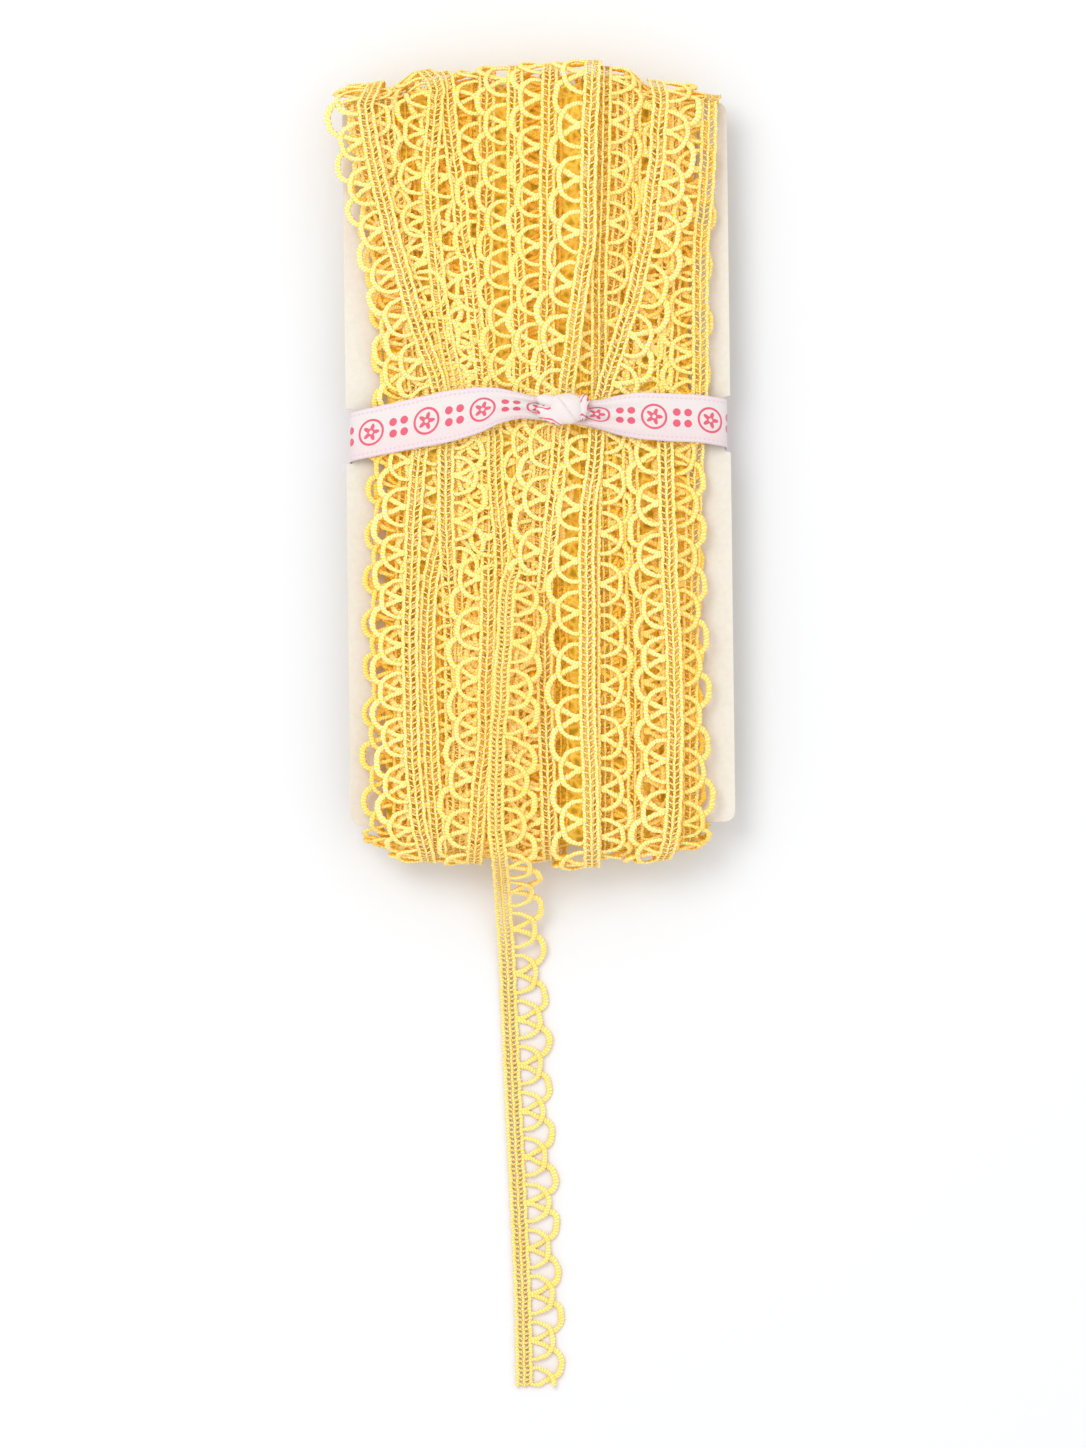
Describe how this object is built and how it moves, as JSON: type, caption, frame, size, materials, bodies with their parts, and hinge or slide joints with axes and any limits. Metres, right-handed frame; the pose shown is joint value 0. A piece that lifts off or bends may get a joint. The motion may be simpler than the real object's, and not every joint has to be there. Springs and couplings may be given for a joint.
{
  "type": "crochet lace trim wound on a card with a ribbon tie",
  "caption": "Yellow scalloped crochet lace trim wound lengthwise on a flat cream card, tied round the waist with a pale pink ribbon, with one end of the lace lying loose.",
  "frame": {"origin": "centre of the bounding box at the surface that the wound trim lies on", "axes": "+X towards the card's right side, +Y along the card away from the loose end, +Z away from the surface"},
  "size_m": [0.0826, 0.2678, 0.0207],
  "materials": {
    "card_board": "smooth matt cream card",
    "wound_lace": "yellow cotton crochet lace, wound in layers",
    "satin_ribbon": "pale pink satin with stitched edges",
    "satin_knot": "pale pink satin, folded",
    "loose_lace": "yellow cotton crochet lace, one layer"
  },
  "bodies": {
    "root": {"card": "card_board", "wound_trim": "wound_lace", "ribbon_tie": "satin_ribbon", "ribbon_knot": "satin_knot", "loose_end": "loose_lace"}
  },
  "joints": []
}
